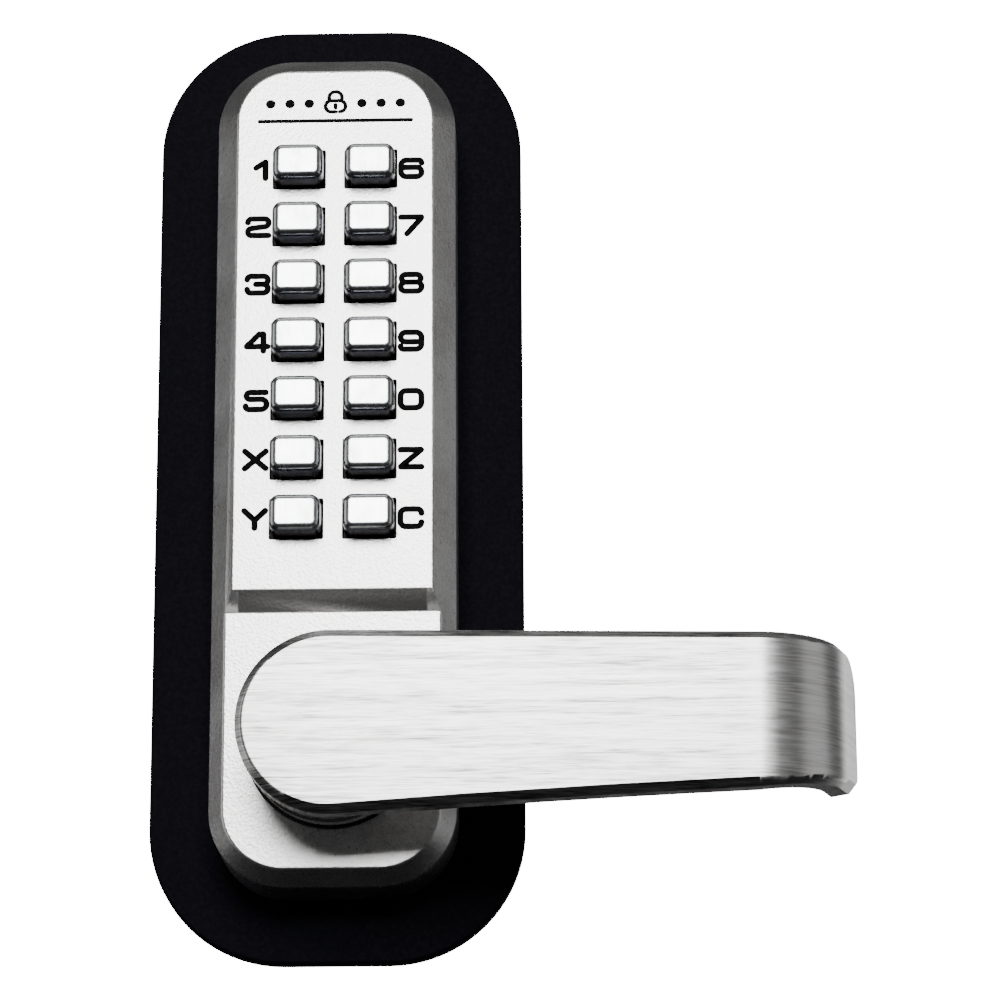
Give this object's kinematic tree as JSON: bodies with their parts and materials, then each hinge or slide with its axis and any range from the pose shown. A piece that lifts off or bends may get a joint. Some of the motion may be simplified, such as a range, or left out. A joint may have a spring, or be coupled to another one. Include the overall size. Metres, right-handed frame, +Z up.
{
  "type": "keypad door lock",
  "caption": "Keypad door lock, outside unit: bevelled metal housing on a black backing plate, columns of push keys and a lever handle.",
  "frame": {"origin": "centre of the backing plate's rear face, which lies on the door", "axes": "+X to the right seen from outside, +Y into the door, +Z up"},
  "size_m": [0.1442, 0.1015, 0.2042],
  "materials": {
    "black_plate": "matt black",
    "cast_housing": "satin, fine cast grain",
    "satin_lever": "brushed along the lever",
    "polished": "polished",
    "seal": "matt",
    "steel": "zinc plated",
    "spring_steel": "bright wire",
    "zinc": "die cast",
    "brass": "turned"
  },
  "bodies": {
    "case": {"backing_plate": "black_plate", "front_housing": "cast_housing", "base_plate": "steel", "chamber_block": "zinc", "spring_guide": "brass", "chamber_cover": "steel", "case_screws": "steel", "mounting_posts": "steel", "lever_bushing": "polished", "lever_seal": "seal", "retaining_ring": "spring_steel", "lever_return_spring": "spring_steel", "slide_spring": "spring_steel", "clear_spring": "spring_steel", "spring_1": "spring_steel", "spring_2": "spring_steel", "spring_3": "spring_steel", "spring_4": "spring_steel", "spring_5": "spring_steel", "spring_x": "spring_steel", "spring_y": "spring_steel", "spring_6": "spring_steel", "spring_7": "spring_steel", "spring_8": "spring_steel", "spring_9": "spring_steel", "spring_0": "spring_steel", "spring_z": "spring_steel", "spring_c": "spring_steel"},
    "lever": {"lever_handle": "satin_lever", "drive_cam": "steel", "spindle": "steel"},
    "slide": {"locking_slide": "brass"},
    "clearer": {"clear_plate": "steel"},
    "button_1": {"key_1": "polished", "pin_1": "brass"},
    "button_2": {"key_2": "polished", "pin_2": "brass"},
    "button_3": {"key_3": "polished", "pin_3": "brass"},
    "button_4": {"key_4": "polished", "pin_4": "brass"},
    "button_5": {"key_5": "polished", "pin_5": "brass"},
    "button_x": {"key_x": "polished", "pin_x": "brass"},
    "button_y": {"key_y": "polished", "pin_y": "brass"},
    "button_6": {"key_6": "polished", "pin_6": "brass"},
    "button_7": {"key_7": "polished", "pin_7": "brass"},
    "button_8": {"key_8": "polished", "pin_8": "brass"},
    "button_9": {"key_9": "polished", "pin_9": "brass"},
    "button_0": {"key_0": "polished", "pin_0": "brass"},
    "button_z": {"key_z": "polished", "pin_z": "brass"},
    "button_c": {"key_c": "polished"}
  },
  "joints": [
    {"name": "lever_turn", "type": "hinge", "parent": "case", "child": "lever", "pos_m": [0, -0.0435, -0.0605], "axis": [0, 1, 0], "range_deg": [0, 45], "stiffness_Nm_per_rad": 1, "springref_deg": -28.65, "deforming": ["lever_return_spring"]},
    {"name": "slide_drop", "type": "slide", "parent": "case", "child": "slide", "axis": [0, 0, -1], "range_m": [0, 0.00637], "deforming": ["slide_spring"]},
    {"name": "clear_shift", "type": "slide", "parent": "case", "child": "clearer", "axis": [1, 0, 0], "range_m": [0, 0.001], "deforming": ["clear_spring"]},
    {"name": "press_1", "type": "slide", "parent": "case", "child": "button_1", "axis": [0, 1, 0], "range_m": [0, 0.0025], "stiffness_N_per_m": 800, "springref_m": -0.002, "deforming": ["spring_1"]},
    {"name": "press_2", "type": "slide", "parent": "case", "child": "button_2", "axis": [0, 1, 0], "range_m": [0, 0.0025], "stiffness_N_per_m": 800, "springref_m": -0.002, "deforming": ["spring_2"]},
    {"name": "press_3", "type": "slide", "parent": "case", "child": "button_3", "axis": [0, 1, 0], "range_m": [0, 0.0025], "stiffness_N_per_m": 800, "springref_m": -0.002, "deforming": ["spring_3"]},
    {"name": "press_4", "type": "slide", "parent": "case", "child": "button_4", "axis": [0, 1, 0], "range_m": [0, 0.0025], "stiffness_N_per_m": 800, "springref_m": -0.002, "deforming": ["spring_4"]},
    {"name": "press_5", "type": "slide", "parent": "case", "child": "button_5", "axis": [0, 1, 0], "range_m": [0, 0.0025], "stiffness_N_per_m": 800, "springref_m": -0.002, "deforming": ["spring_5"]},
    {"name": "press_x", "type": "slide", "parent": "case", "child": "button_x", "axis": [0, 1, 0], "range_m": [0, 0.0025], "stiffness_N_per_m": 800, "springref_m": -0.002, "deforming": ["spring_x"]},
    {"name": "press_y", "type": "slide", "parent": "case", "child": "button_y", "axis": [0, 1, 0], "range_m": [0, 0.0025], "stiffness_N_per_m": 800, "springref_m": -0.002, "deforming": ["spring_y"]},
    {"name": "press_6", "type": "slide", "parent": "case", "child": "button_6", "axis": [0, 1, 0], "range_m": [0, 0.0025], "stiffness_N_per_m": 800, "springref_m": -0.002, "deforming": ["spring_6"]},
    {"name": "press_7", "type": "slide", "parent": "case", "child": "button_7", "axis": [0, 1, 0], "range_m": [0, 0.0025], "stiffness_N_per_m": 800, "springref_m": -0.002, "deforming": ["spring_7"]},
    {"name": "press_8", "type": "slide", "parent": "case", "child": "button_8", "axis": [0, 1, 0], "range_m": [0, 0.0025], "stiffness_N_per_m": 800, "springref_m": -0.002, "deforming": ["spring_8"]},
    {"name": "press_9", "type": "slide", "parent": "case", "child": "button_9", "axis": [0, 1, 0], "range_m": [0, 0.0025], "stiffness_N_per_m": 800, "springref_m": -0.002, "deforming": ["spring_9"]},
    {"name": "press_0", "type": "slide", "parent": "case", "child": "button_0", "axis": [0, 1, 0], "range_m": [0, 0.0025], "stiffness_N_per_m": 800, "springref_m": -0.002, "deforming": ["spring_0"]},
    {"name": "press_z", "type": "slide", "parent": "case", "child": "button_z", "axis": [0, 1, 0], "range_m": [0, 0.0025], "stiffness_N_per_m": 800, "springref_m": -0.002, "deforming": ["spring_z"]},
    {"name": "press_c", "type": "slide", "parent": "case", "child": "button_c", "axis": [0, 1, 0], "range_m": [0, 0.0025], "stiffness_N_per_m": 800, "springref_m": -0.002, "deforming": ["spring_c"]}
  ],
  "couplings": [
    {"joint": "slide_drop", "follows": "lever_turn", "m_per_rad": 0.008103},
    {"joint": "clear_shift", "follows": "press_c", "ratio": 0.4}
  ]
}
